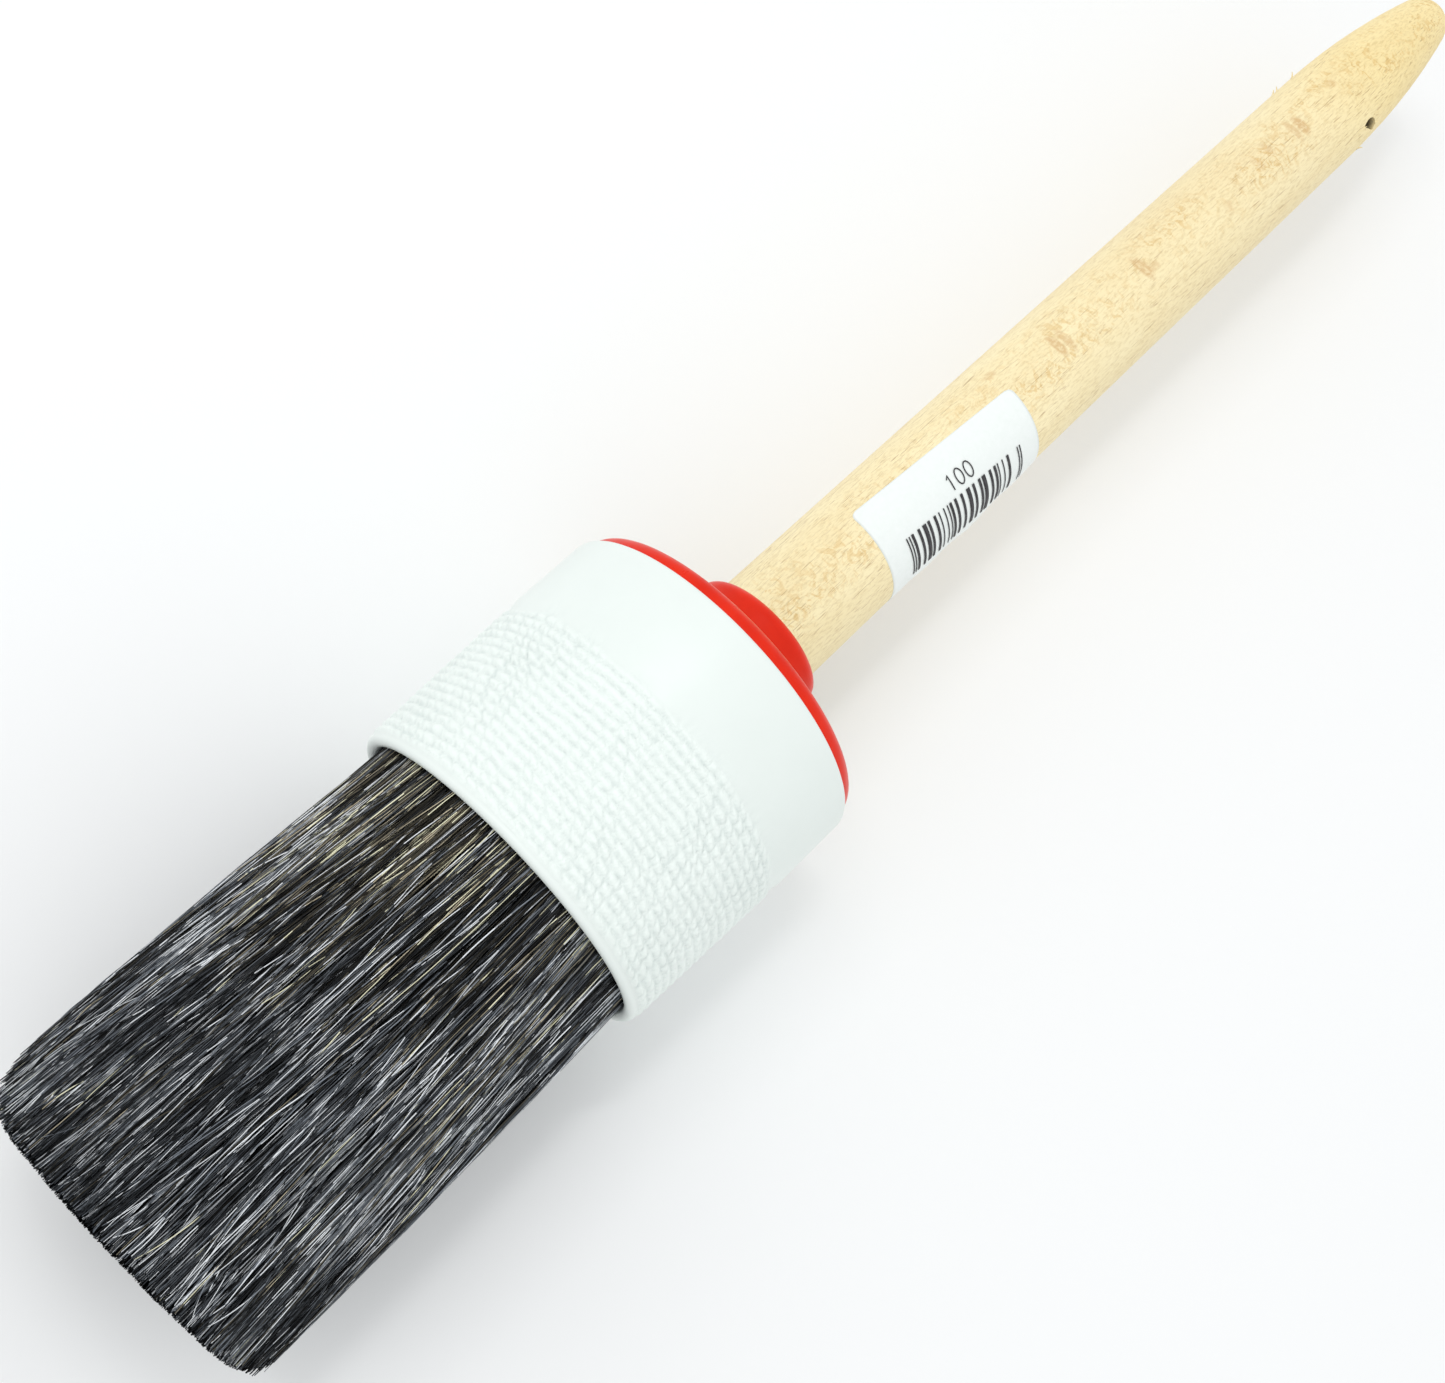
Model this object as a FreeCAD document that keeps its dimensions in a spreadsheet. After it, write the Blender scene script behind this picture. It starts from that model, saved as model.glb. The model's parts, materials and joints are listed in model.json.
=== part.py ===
import FreeCAD, Part
import math
import os
import re
import Sketcher

# Round stencil brush lying on its side. +X runs along the brush from the bristle
# tips to the handle's nose, +Z is up, and the origin is on the table under the
# middle of the overall length. Every body is turned about its own X axis, with
# x = 0 at the bristle tips, and is then placed at the height of the collar.

DIMENSIONS = {
    # bristle bundle
    "tuft_length": 72.5,        # free length, from the tips to the collar's lip
    "tuft_tip_r": 27.7,         # widest radius, near the tips
    "tuft_root_r": 26.4,        # radius where the bristles leave the collar
    "tuft_tip_round": 3.0,      # rounding of the trimmed end
    "tuft_set_depth": 24.0,     # length of bristle held inside the collar
    # white collar
    "collar_length": 46.2,
    "collar_bore_r": 26.8,
    "collar_lip_r": 28.9,       # outside radius behind the lip
    "collar_body_r": 30.1,      # outside radius of the smooth rear band
    "lip_round": 1.0,
    "shoulder_round": 1.1,
    "relief_start": 1.3,        # moulded cord winding, measured from the lip
    "relief_length": 28.5,
    "relief_end_r": 29.8,       # radius between the last cords
    "cord_count": 17,
    "cord_r": 1.35,             # radius of each moulded cord's arc
    "band_step": 0.3,           # slope up from the winding to the rear band
    # red cap
    "cap_flange_r": 29.1,
    "cap_flange_edge": 2.7,     # height of the flange's rim
    "cap_rim_round": 2.5,
    "cap_dome_rise": 0.8,
    "cap_boss_r": 12.5,
    "cap_boss_height": 12.8,    # from the collar's rear edge to the boss's top
    "cap_boss_round": 2.2,
    "cap_foot_round": 1.0,      # inside corner between flange and boss
    "cap_skirt_length": 9.0,    # inside the collar
    "cap_skirt_wall": 2.4,
    "cap_bore_r": 10.12,
    "cap_floor": 2.0,
    # setting resin
    "resin_length": 10.0,
    "fit_gap": 0.05,
    # handle
    "total_length": 322.6,
    "handle_neck_r": 10.05,     # inside the cap and just behind it
    "handle_end_r": 9.15,       # at the start of the nose
    "handle_nose_length": 38.2,
    "handle_tip_r": 5.4,
    "wedge_r": 14.0,            # conical head that spreads the bristles
    "wedge_depth": 8.0,         # from the lip to the head's end face
    "wedge_length": 14.0,
    # hanging hole
    "hole_r": 2.0,
    "hole_setback": 35.2,       # from the nose to the hole's axis
    "hole_turn": 58.0,          # degrees from straight up, towards -Y
    # price label
    "label_width": 37.4,
    "label_height": 21.2,
    "label_setback": 21.1,      # from the boss's top to the label's near edge
    "label_turn": 41.5,         # degrees from straight up, towards -Y, at its centre
    "label_skew": 3.6,          # degrees
    "label_thickness": 0.16,
    "label_gap": 0.05,
}

doc = FreeCAD.newDocument("stencil_brush")
sheet = doc.addObject("Spreadsheet::Sheet", "Dimensions")
for row, (alias, value) in enumerate(DIMENSIONS.items(), start=1):
    sheet.set(f"A{row}", alias)
    sheet.set(f"B{row}", str(value))
    sheet.setAlias(f"B{row}", alias)
doc.recompute()


def bound(text):
    """The expression with each dimension's name pointed at the sheet."""
    return re.sub(r"[a-z_]+", lambda word: "Dimensions." + word.group(), text)


def value_of(text):
    """The expression's value now."""
    return float(sheet.evalExpression(bound(text)))


def new_body(label):
    body = doc.addObject("PartDesign::Body", label)
    body.Label = label
    return body


def origin_feature(body, role):
    return next(item for item in body.Origin.OriginFeatures if item.Role == role)


def new_sketch(body, name):
    sketch = body.newObject("Sketcher::SketchObject", name)
    sketch.AttachmentSupport = [(origin_feature(body, "XY_Plane"), "")]
    sketch.MapMode = "FlatFace"
    return sketch


def pin_point(sketch, edge, end, station, radius):
    """Tie one end of an edge to its station along the axis and its radius."""
    for kind, axis, text in (("DistanceX", -2, station), ("DistanceY", -1, radius)):
        if text == "0":
            sketch.addConstraint(Sketcher.Constraint("PointOnObject", edge, end, axis))
            continue
        number = sketch.addConstraint(
            Sketcher.Constraint(kind, -1, 1, edge, end, value_of(text)))
        sketch.setExpression(f"Constraints[{number}]", bound(text))


def add_outline(sketch, points):
    """A closed outline of straight edges through (station, radius) points."""
    places = [FreeCAD.Vector(value_of(x), value_of(r), 0) for x, r in points]
    count = len(places)
    for index, place in enumerate(places):
        sketch.addGeometry(Part.LineSegment(place, places[(index + 1) % count]), False)
    for index in range(count):
        sketch.addConstraint(
            Sketcher.Constraint("Coincident", index, 2, (index + 1) % count, 1))
    for index, (station, radius) in enumerate(points):
        pin_point(sketch, index, 1, station, radius)


def revolve(body, sketch, name):
    feature = body.newObject("PartDesign::Revolution", name)
    feature.Profile = sketch
    feature.ReferenceAxis = (sketch, ["H_Axis"])
    feature.Angle = 360.0
    doc.recompute()
    return feature


def round_rings(body, base, name, radius_alias, rings):
    """Fillet the circular edges that lie at the given (station, radius) rings."""
    wanted = [(value_of(x), value_of(r)) for x, r in rings]
    names = []
    for number, edge in enumerate(base.Shape.Edges, start=1):
        if not isinstance(edge.Curve, Part.Circle):
            continue
        for station, radius in wanted:
            near_station = abs(edge.Curve.Center.x - station) < 0.01
            if near_station and abs(edge.Curve.Radius - radius) < 0.01:
                names.append(f"Edge{number}")
    if len(names) != len(wanted):
        raise SystemExit(f"{name}: {len(names)} rings found, {len(wanted)} wanted")
    fillet = body.newObject("PartDesign::Fillet", name)
    fillet.Base = (base, names)
    fillet.setExpression("Radius", bound(radius_alias))
    doc.recompute()
    return fillet


# Stations along the axis that several bodies share.
LIP = "tuft_length"
COLLAR_END = "tuft_length + collar_length"
BOSS_TOP = "tuft_length + collar_length + cap_boss_height"
SET_END = "tuft_length + tuft_set_depth"
NOSE_START = "total_length - handle_nose_length"
WEDGE_END = "tuft_length + wedge_depth"
WEDGE_NECK = "tuft_length + wedge_depth + wedge_length"


# White collar: a sleeve with a rounded lip, a band of moulded cord winding and a
# smooth band that ends in a rounded shoulder.

def make_collar():
    body = new_body("collar")
    sketch = new_sketch(body, "collar_profile")
    cords = int(value_of("cord_count"))
    relief_at = "tuft_length + relief_start + relief_length * {part}"
    valley_at = "collar_lip_r + (relief_end_r - collar_lip_r) * {part}"
    points = [
        (LIP, "collar_bore_r"),
        (LIP, "collar_lip_r"),
    ]
    for index in range(cords + 1):
        part = f"{index} / {cords}"
        points.append((relief_at.format(part=part), valley_at.format(part=part)))
    points += [
        (f"{LIP} + relief_start + relief_length + band_step", "collar_body_r"),
        (COLLAR_END, "collar_body_r"),
        (COLLAR_END, "collar_bore_r"),
    ]
    places = [FreeCAD.Vector(value_of(x), value_of(r), 0) for x, r in points]
    first_cord = 2
    cord_edges = range(first_cord, first_cord + cords)
    count = len(points)
    for index, start in enumerate(places):
        end = places[(index + 1) % count]
        if index in cord_edges:
            half = start.distanceToPoint(end) / 2
            radius = value_of("cord_r")
            rise = radius - math.sqrt(radius ** 2 - half ** 2)
            crest = (start + end) * 0.5 + FreeCAD.Vector(0, rise, 0)
            sketch.addGeometry(Part.Arc(start, crest, end), False)
        else:
            sketch.addGeometry(Part.LineSegment(start, end), False)
    # An arc that was drawn from left to right over the top starts at its right end.
    first_end = [2 if index in cord_edges else 1 for index in range(count)]
    for index in range(count):
        following = (index + 1) % count
        sketch.addConstraint(Sketcher.Constraint(
            "Coincident", index, 3 - first_end[index], following, first_end[following]))
    for index in cord_edges:
        number = sketch.addConstraint(
            Sketcher.Constraint("Radius", index, value_of("cord_r")))
        sketch.setExpression(f"Constraints[{number}]", bound("cord_r"))
    for index, (station, radius) in enumerate(points):
        pin_point(sketch, index, first_end[index], station, radius)
    tube = revolve(body, sketch, "collar_tube")
    lip = round_rings(body, tube, "collar_lip", "lip_round",
                      [(LIP, "collar_bore_r"), (LIP, "collar_lip_r")])
    round_rings(body, lip, "collar_shoulder", "shoulder_round",
                [(COLLAR_END, "collar_body_r")])
    return body


# Red cap: a flange that covers the collar's rear edge, a boss round the handle and
# a skirt that plugs into the collar.

def make_cap():
    body = new_body("red_cap")
    sketch = new_sketch(body, "cap_profile")
    skirt_start = f"{COLLAR_END} - cap_skirt_length"
    skirt_out = "collar_bore_r - fit_gap"
    skirt_in = "collar_bore_r - fit_gap - cap_skirt_wall"
    floor = f"{COLLAR_END} - cap_floor"
    rim = f"{COLLAR_END} + cap_flange_edge"
    dome = f"{COLLAR_END} + cap_flange_edge + cap_dome_rise"
    add_outline(sketch, [
        (skirt_start, skirt_in),
        (skirt_start, skirt_out),
        (COLLAR_END, skirt_out),
        (COLLAR_END, "cap_flange_r"),
        (rim, "cap_flange_r"),
        (dome, "cap_boss_r"),
        (BOSS_TOP, "cap_boss_r"),
        (BOSS_TOP, "cap_bore_r"),
        (floor, "cap_bore_r"),
        (floor, skirt_in),
    ])
    turned = revolve(body, sketch, "cap_turned")
    rim_rounded = round_rings(body, turned, "cap_rim", "cap_rim_round",
                              [(rim, "cap_flange_r")])
    boss = round_rings(body, rim_rounded, "cap_boss", "cap_boss_round",
                       [(BOSS_TOP, "cap_boss_r")])
    round_rings(body, boss, "cap_foot", "cap_foot_round", [(dome, "cap_boss_r")])
    return body


# Bristle bundle: one closed solid for all the bristles, with the room that the
# handle's conical head takes up inside it.

def make_bristles():
    body = new_body("bristles")
    sketch = new_sketch(body, "bristle_profile")
    add_outline(sketch, [
        ("0", "0"),
        ("0", "tuft_tip_r"),
        (LIP, "tuft_root_r"),
        (SET_END, "tuft_root_r"),
        (SET_END, "handle_neck_r + fit_gap"),
        (WEDGE_NECK, "handle_neck_r + fit_gap"),
        (f"{WEDGE_END} - fit_gap", "wedge_r + fit_gap"),
        (f"{WEDGE_END} - fit_gap", "0"),
    ])
    turned = revolve(body, sketch, "bristle_turned")
    round_rings(body, turned, "bristle_trim", "tuft_tip_round", [("0", "tuft_tip_r")])
    return body


# Setting resin: the ring of cast resin that holds the bristles' butt ends.

def make_resin():
    body = new_body("setting_resin")
    sketch = new_sketch(body, "resin_profile")
    resin_end = f"{SET_END} + resin_length"
    add_outline(sketch, [
        (SET_END, "handle_neck_r + fit_gap"),
        (SET_END, "collar_bore_r - fit_gap"),
        (resin_end, "collar_bore_r - fit_gap"),
        (resin_end, "handle_neck_r + fit_gap"),
    ])
    revolve(body, sketch, "resin_turned")
    return body


# Handle: turned in one piece, from the conical head inside the bristles, through
# the cap, along the tapered shaft to the bullet-shaped nose with its hanging hole.

def make_handle():
    body = new_body("handle")
    sketch = new_sketch(body, "handle_profile")
    points = [
        (WEDGE_END, "0"),
        (WEDGE_END, "wedge_r"),
        (WEDGE_NECK, "handle_neck_r"),
        (BOSS_TOP, "handle_neck_r"),
        (NOSE_START, "handle_end_r"),
    ]
    places = [FreeCAD.Vector(value_of(x), value_of(r), 0) for x, r in points]
    tip = FreeCAD.Vector(value_of("total_length"), 0, 0)
    tip_r = value_of("handle_tip_r")
    tip_centre = tip - FreeCAD.Vector(tip_r, 0, 0)
    nose_start = places[-1]
    # The nose's long arc is tangent to the small arc of the tip.
    reach = tip_centre.x - nose_start.x
    long_r = (reach ** 2 + nose_start.y ** 2 - tip_r ** 2) / (2 * (nose_start.y - tip_r))
    long_centre = FreeCAD.Vector(nose_start.x, nose_start.y - long_r, 0)
    toward = (tip_centre - long_centre).normalize()
    join = long_centre + toward * long_r
    join_angle = math.atan2(toward.y, toward.x)
    for start, end in zip(places, places[1:]):
        sketch.addGeometry(Part.LineSegment(start, end), False)
    upward = FreeCAD.Vector(0, 0, 1)
    long_arc = len(points) - 1
    tip_arc = long_arc + 1
    axis_line = tip_arc + 1
    sketch.addGeometry(Part.ArcOfCircle(
        Part.Circle(long_centre, upward, long_r), join_angle, math.pi / 2), False)
    sketch.addGeometry(Part.ArcOfCircle(
        Part.Circle(tip_centre, upward, tip_r), 0, join_angle), False)
    sketch.addGeometry(Part.LineSegment(tip, places[0]), False)
    for index in range(long_arc - 1):
        sketch.addConstraint(Sketcher.Constraint("Coincident", index, 2, index + 1, 1))
    for index, (station, radius) in enumerate(points[:-1]):
        pin_point(sketch, index, 1, station, radius)
    pin_point(sketch, long_arc - 1, 2, *points[-1])
    sketch.addConstraint(Sketcher.Constraint("Tangent", long_arc - 1, 2, long_arc, 2))
    sketch.addConstraint(Sketcher.Constraint("Tangent", long_arc, 1, tip_arc, 2))
    sketch.addConstraint(Sketcher.Constraint("PointOnObject", tip_arc, 3, -1))
    number = sketch.addConstraint(Sketcher.Constraint("Radius", tip_arc, tip_r))
    sketch.setExpression(f"Constraints[{number}]", bound("handle_tip_r"))
    sketch.addConstraint(Sketcher.Constraint("Coincident", tip_arc, 1, axis_line, 1))
    sketch.addConstraint(Sketcher.Constraint("Coincident", axis_line, 2, 0, 1))
    pin_point(sketch, tip_arc, 1, "total_length", "0")
    turned = revolve(body, sketch, "handle_turned")

    before = turned.Shape.Volume
    hole_sketch = new_sketch(body, "hole_profile")
    hole_sketch.AttachmentOffset = FreeCAD.Placement(
        FreeCAD.Vector(0, 0, 0),
        FreeCAD.Rotation(FreeCAD.Vector(1, 0, 0), value_of("hole_turn")))
    hole_sketch.setExpression("AttachmentOffset.Rotation.Angle", bound("hole_turn"))
    centre = FreeCAD.Vector(value_of("total_length - hole_setback"), 0, 0)
    circle = Part.Circle(centre, upward, value_of("hole_r"))
    hole_sketch.addGeometry(circle, False)
    pin_point(hole_sketch, 0, 3, "total_length - hole_setback", "0")
    number = hole_sketch.addConstraint(
        Sketcher.Constraint("Radius", 0, value_of("hole_r")))
    hole_sketch.setExpression(f"Constraints[{number}]", bound("hole_r"))
    hole = body.newObject("PartDesign::Pocket", "hanging_hole")
    hole.Profile = hole_sketch
    hole.SideType = "Symmetric"
    hole.Type = "ThroughAll"
    doc.recompute()
    if hole.Shape.Volume > before - 1.0:
        raise SystemExit("the hanging hole cut nothing")
    return body


# Price label: a sheet of paper wrapped round the handle, a little out of square.
# Its outline is drawn on the cone that the shaft follows and then thickened.

def make_label():
    neck = value_of("handle_neck_r")
    end = value_of("handle_end_r")
    start_x = value_of(BOSS_TOP)
    run = value_of(NOSE_START) - start_x
    centre_x = start_x + value_of("label_setback") + value_of("label_width") / 2
    gap = value_of("label_gap")
    thickness = value_of("label_thickness")
    skew = math.radians(value_of("label_skew"))
    turn = math.radians(value_of("label_turn"))
    middle_r = neck - (neck - end) * (centre_x - start_x) / run + gap
    slope = math.atan((neck - end) / run)
    cone = Part.Cone()
    cone.Center = FreeCAD.Vector(centre_x, 0, 0)
    cone.Axis = FreeCAD.Vector(-1, 0, 0)
    cone.Radius = middle_r
    cone.SemiAngle = slope
    corners = []
    half_w = value_of("label_width") / 2
    half_h = value_of("label_height") / 2
    for along, around in ((-1, -1), (1, -1), (1, 1), (-1, 1)):
        x = along * half_w * math.cos(skew) - around * half_h * math.sin(skew)
        arc = along * half_w * math.sin(skew) + around * half_h * math.cos(skew)
        corners.append((x, arc / middle_r))
    zero = cone.value(0, 0)
    up = math.atan2(-zero.y, zero.z)
    step = cone.value(0.01, 0)
    sense = 1 if math.atan2(-step.y, step.z) > up else -1
    flat = [FreeCAD.Base.Vector2d(sense * (turn + angle - up), -x / math.cos(slope))
            for x, angle in corners]
    edges = []
    for index, corner in enumerate(flat):
        line = Part.Geom2d.Line2dSegment(corner, flat[(index + 1) % len(flat)])
        edges.append(line.toShape(cone))
    wire = Part.Wire(edges)
    face = Part.Face(cone, wire)
    face.validate()
    solid = face.makeOffsetShape(thickness, 0.001, fill=True)
    label = doc.addObject("Part::Feature", "price_label")
    label.Label = "price_label"
    label.Shape = solid
    return label


pieces = [
    make_handle(),
    make_cap(),
    make_collar(),
    make_bristles(),
    make_resin(),
    make_label(),
]

# The brush rests on its collar, so the axis is one collar radius above the table.
for piece in pieces:
    piece.setExpression("Placement.Base.x", bound("0 - total_length / 2"))
    piece.setExpression("Placement.Base.z", bound("collar_body_r"))
doc.recompute()

for item in doc.Objects:
    if "Invalid" in item.State or "Error" in item.State:
        raise SystemExit(f"{item.Label}: {item.State}")
for piece in pieces:
    shape = piece.Shape
    if shape.isNull() or not shape.isValid() or len(shape.Solids) != 1:
        raise SystemExit(f"{piece.Label}: bad shape")

os.makedirs("parts", exist_ok=True)
for piece in pieces:
    piece.Shape.exportStep(f"parts/{piece.Label}.step")
    box = piece.Shape.BoundBox
    print(f"{piece.Label}: {piece.Shape.Volume / 1000:.2f} cm3, "
          f"x {box.XMin:.1f}..{box.XMax:.1f}, y {box.YMin:.1f}..{box.YMax:.1f}, "
          f"z {box.ZMin:.1f}..{box.ZMax:.1f}")
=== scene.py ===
import json
import math
import bpy
import numpy as np
from mathutils import Matrix, Vector


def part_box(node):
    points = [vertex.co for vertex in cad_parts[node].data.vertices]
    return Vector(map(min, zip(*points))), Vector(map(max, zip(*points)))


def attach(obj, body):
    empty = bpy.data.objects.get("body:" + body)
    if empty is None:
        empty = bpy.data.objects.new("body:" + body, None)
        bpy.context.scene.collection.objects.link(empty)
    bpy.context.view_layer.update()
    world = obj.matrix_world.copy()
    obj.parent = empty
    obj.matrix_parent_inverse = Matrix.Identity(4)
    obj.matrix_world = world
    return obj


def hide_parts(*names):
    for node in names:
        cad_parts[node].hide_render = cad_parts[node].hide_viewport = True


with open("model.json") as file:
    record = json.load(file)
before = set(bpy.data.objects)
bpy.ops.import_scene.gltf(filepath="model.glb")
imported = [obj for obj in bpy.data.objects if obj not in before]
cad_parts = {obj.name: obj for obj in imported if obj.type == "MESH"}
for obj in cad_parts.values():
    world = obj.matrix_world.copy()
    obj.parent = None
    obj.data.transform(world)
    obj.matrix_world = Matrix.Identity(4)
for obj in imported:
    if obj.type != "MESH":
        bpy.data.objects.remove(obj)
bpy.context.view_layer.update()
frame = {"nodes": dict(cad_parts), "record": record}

MM = 0.001
SEED = 20
rng = np.random.default_rng(SEED)


# Landmarks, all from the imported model.

def corners(node):
    low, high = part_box(node)
    return Vector(low), Vector(high)


COLLAR_LOW, COLLAR_HIGH = corners("collar")
AXIS_Z = (COLLAR_LOW.z + COLLAR_HIGH.z) / 2
LIP_X = COLLAR_LOW.x
COLLAR_END_X = COLLAR_HIGH.x
TIPS_X = corners("bristles")[0].x
BODY_R = (COLLAR_HIGH.z - COLLAR_LOW.z) / 2
BOSS_TOP_X = corners("red_cap")[1].x
NOSE_X = corners("handle")[1].x
HOLE_MOUNT = frame["record"]["mounts"][0]
HOLE = Vector(HOLE_MOUNT["pos_m"])
HOLE_AXIS = Vector(HOLE_MOUNT["axis"])
HOLE_R = HOLE_MOUNT["dims"]["r_mm"] * MM
HOLE_TURN = math.atan2(-HOLE_AXIS.y, HOLE_AXIS.z)
NOSE_R = 9.12 * MM                     # the handle's radius at the hole


def around(x, radius, turn):
    """Points on a ring about the brush's axis; turn 0 is straight up, positive towards -Y."""
    return np.stack(np.broadcast_arrays(
        x, -radius * np.sin(turn), AXIS_Z + radius * np.cos(turn)), axis=-1)


def full_turn(columns):
    """One row of turns, once round the brush."""
    return np.linspace(-math.pi, math.pi, columns, endpoint=False)[None, :]


# Camera and light. The camera looks down on the brush and towards the handle, and
# is rolled so that the brush lies from the lower left to the upper right.

CAMERA_AIM = Vector((LIP_X + 47.6 * MM, -2.2 * MM, AXIS_Z))
CAMERA_DISTANCE = 302.3 * MM
CAMERA_TILT = math.radians(19.2)
CAMERA_ROLL = math.radians(43.05)
CAMERA_LENS = 47.2
SENSOR_WIDTH = 36.0
CLIP_START = 10 * MM

WORLD_COLOUR, WORLD_STRENGTH = (0.97, 0.99, 1.0), 0.92
LIGHTS = (
    # name, place and size in metres, power in watts
    ("key", (-0.10, 0.30, 0.75), (0.30, 0.30), 0.80),
    ("strip", (0.05, 0.20, 0.80), (0.16, 0.02), 0.5),
)
FLOOR_HALF = 4.0
FLOOR_COLOUR, FLOOR_ROUGHNESS = (0.93, 0.93, 0.93), 0.7


def make_camera():
    forward = Vector((math.sin(CAMERA_TILT), 0, -math.cos(CAMERA_TILT)))
    along = Vector((math.cos(CAMERA_TILT), 0, math.sin(CAMERA_TILT)))
    across = Vector((0, 1, 0))
    right = along * math.cos(CAMERA_ROLL) - across * math.sin(CAMERA_ROLL)
    up = along * math.sin(CAMERA_ROLL) + across * math.cos(CAMERA_ROLL)
    data = bpy.data.cameras.new("camera")
    data.lens = CAMERA_LENS
    data.sensor_width = SENSOR_WIDTH
    data.clip_start = CLIP_START
    camera = bpy.data.objects.new("camera", data)
    turned = Matrix((right, up, -forward)).transposed().to_4x4()
    camera.matrix_world = Matrix.Translation(CAMERA_AIM - forward * CAMERA_DISTANCE) @ turned
    bpy.context.scene.collection.objects.link(camera)
    bpy.context.scene.camera = camera


def add_light(name, place, size, power):
    data = bpy.data.lights.new(name, "AREA")
    data.shape = "RECTANGLE"
    data.size, data.size_y = size
    data.energy = power
    light = bpy.data.objects.new(name, data)
    light.location = place
    aim = Vector((LIP_X, 0, AXIS_Z)) - Vector(place)
    light.rotation_euler = aim.to_track_quat("-Z", "Y").to_euler()
    bpy.context.scene.collection.objects.link(light)


def make_studio():
    world = bpy.data.worlds.new("studio")
    world.use_nodes = True
    background = world.node_tree.nodes["Background"]
    background.inputs["Color"].default_value = (*WORLD_COLOUR, 1.0)
    background.inputs["Strength"].default_value = WORLD_STRENGTH
    bpy.context.scene.world = world
    bpy.context.scene.view_settings.view_transform = "Standard"
    for name, place, size, power in LIGHTS:
        add_light(name, place, size, power)
    far = FLOOR_HALF
    mesh = bpy.data.meshes.new("floor")
    mesh.from_pydata([(-far, -far, 0), (far, -far, 0), (far, far, 0), (-far, far, 0)],
                     [], [(0, 1, 2, 3)])
    floor = bpy.data.objects.new("floor", mesh)
    bpy.context.scene.collection.objects.link(floor)
    floor.data.materials.append(plain("floor_paint", FLOOR_COLOUR, FLOOR_ROUGHNESS))


# Materials.

def new_material(name):
    material = bpy.data.materials.new(name)
    material.use_nodes = True
    tree = material.node_tree
    return material, tree, tree.nodes["Principled BSDF"]


def plain(name, colour, roughness, specular=0.5):
    material, _, shader = new_material(name)
    shader.inputs["Base Color"].default_value = (*colour, 1.0)
    shader.inputs["Roughness"].default_value = roughness
    shader.inputs["Specular IOR Level"].default_value = specular
    return material


def stretched(tree, scale):
    """Object coordinates stretched by scale, a number per axis."""
    place = tree.nodes.new("ShaderNodeTexCoord")
    mapping = tree.nodes.new("ShaderNodeMapping")
    mapping.inputs["Scale"].default_value = scale
    tree.links.new(place.outputs["Object"], mapping.inputs["Vector"])
    return mapping.outputs["Vector"]


def noise(tree, vector, scale, detail=4.0, roughness=0.5, distortion=0.0):
    node = tree.nodes.new("ShaderNodeTexNoise")
    node.inputs["Scale"].default_value = scale
    node.inputs["Detail"].default_value = detail
    node.inputs["Roughness"].default_value = roughness
    node.inputs["Distortion"].default_value = distortion
    tree.links.new(vector, node.inputs["Vector"])
    return node.outputs["Fac"]


def ramp(tree, value, stops):
    """A colour ramp from (position, colour) stops; a colour may be one number."""
    node = tree.nodes.new("ShaderNodeValToRGB")
    elements = node.color_ramp.elements
    while len(elements) < len(stops):
        elements.new(0.5)
    for element, (position, colour) in zip(elements, stops):
        element.position = position
        shade = (colour,) * 3 if isinstance(colour, (int, float)) else colour
        element.color = (*shade, 1.0)
    tree.links.new(value, node.inputs["Fac"])
    return node.outputs["Color"]


COLOUR_A, COLOUR_B, COLOUR_RESULT = 6, 7, 2    # the Mix node's sockets for colours


def mixed(tree, amount, first, second, mode="MIX"):
    """Two colours mixed; amount and the colours are sockets or plain values."""
    node = tree.nodes.new("ShaderNodeMix")
    node.data_type = "RGBA"
    node.blend_type = mode
    for key, value in (("Factor", amount), (COLOUR_A, first), (COLOUR_B, second)):
        socket = node.inputs[key]
        if isinstance(value, bpy.types.NodeSocket):
            tree.links.new(value, socket)
        elif isinstance(value, (int, float)):
            socket.default_value = value
        else:
            socket.default_value = (*value, 1.0)
    return node.outputs[COLOUR_RESULT]


def product(tree, first, second):
    return mixed(tree, 1.0, first, second, "MULTIPLY")


def attribute(tree, name):
    node = tree.nodes.new("ShaderNodeAttribute")
    node.attribute_name = name
    return node.outputs["Fac"]


def maths(tree, operation, *values):
    node = tree.nodes.new("ShaderNodeMath")
    node.operation = operation
    for socket, value in zip(node.inputs, values):
        if isinstance(value, bpy.types.NodeSocket):
            tree.links.new(value, socket)
        else:
            socket.default_value = value
    return node.outputs["Value"]


def add_bump(tree, shader, height, strength, distance):
    bump = tree.nodes.new("ShaderNodeBump")
    bump.inputs["Strength"].default_value = strength
    bump.inputs["Distance"].default_value = distance
    tree.links.new(height, bump.inputs["Height"])
    tree.links.new(bump.outputs["Normal"], shader.inputs["Normal"])


SHAFT_R = 9.8 * MM                     # middling radius of the shaft, to place marks on it


def spot(tree, place, x, turn, length, width):
    """A soft oval mark on the shaft at station x and turn degrees, 1 in its middle."""
    mapping = tree.nodes.new("ShaderNodeMapping")
    mapping.inputs["Scale"].default_value = (1 / length, 1 / width, 1 / width)
    tree.links.new(place, mapping.inputs["Vector"])
    distance = tree.nodes.new("ShaderNodeVectorMath")
    distance.operation = "DISTANCE"
    middle = around(x, SHAFT_R, math.radians(turn))
    distance.inputs[1].default_value = middle / (length, width, width)
    tree.links.new(mapping.outputs["Vector"], distance.inputs[0])
    return ramp(tree, distance.outputs["Value"], [(0.62, 1.0), (1.0, 0.0)])


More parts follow.
